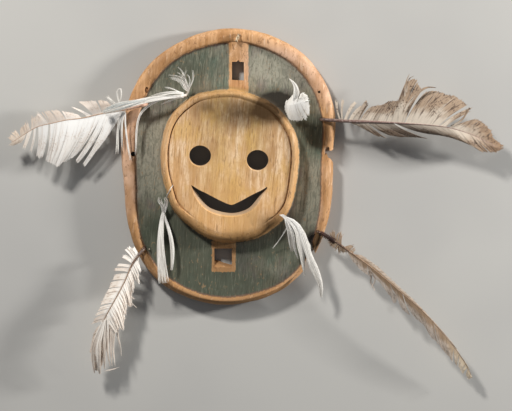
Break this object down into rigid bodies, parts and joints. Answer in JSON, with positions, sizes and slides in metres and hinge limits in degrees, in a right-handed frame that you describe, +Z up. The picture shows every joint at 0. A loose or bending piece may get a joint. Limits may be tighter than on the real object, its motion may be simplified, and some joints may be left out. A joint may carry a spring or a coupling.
{
  "type": "painted wooden mask",
  "caption": "Oval carved wooden mask with a raised rim, a round face with round eyes and a crescent mouth, and feathers set in the rim, lying on its back",
  "frame": {"origin": "under the middle of the whole object's box, on the surface that the mask lies on", "axes": "+X to the viewer's right, +Y towards the mask's top, +Z up, out of the mask's face; the feathers spread along X"},
  "size_m": [0.5354, 0.3872, 0.0499],
  "materials": {
    "painted_wood": "weathered matt, worn paint",
    "white_feather": "matt",
    "mottled_feather": "matt",
    "dark_cord": "matt",
    "light_cord": "matt",
    "pale_wood": "matt",
    "brown_wood": "matt"
  },
  "bodies": {
    "root": {"mask": "painted_wood", "feather_upper_left": "white_feather", "feather_upper_right": "mottled_feather", "feather_lower_left": "white_feather", "feather_lower_right": "mottled_feather", "small_feather_upper_left": "white_feather", "small_feather_upper_right": "white_feather", "small_feather_lower_left": "white_feather", "small_feather_lower_right": "white_feather", "lashing_lower_right": "dark_cord", "top_tie": "light_cord", "peg_lower_left": "pale_wood", "plug_upper_left": "brown_wood"}
  },
  "joints": []
}
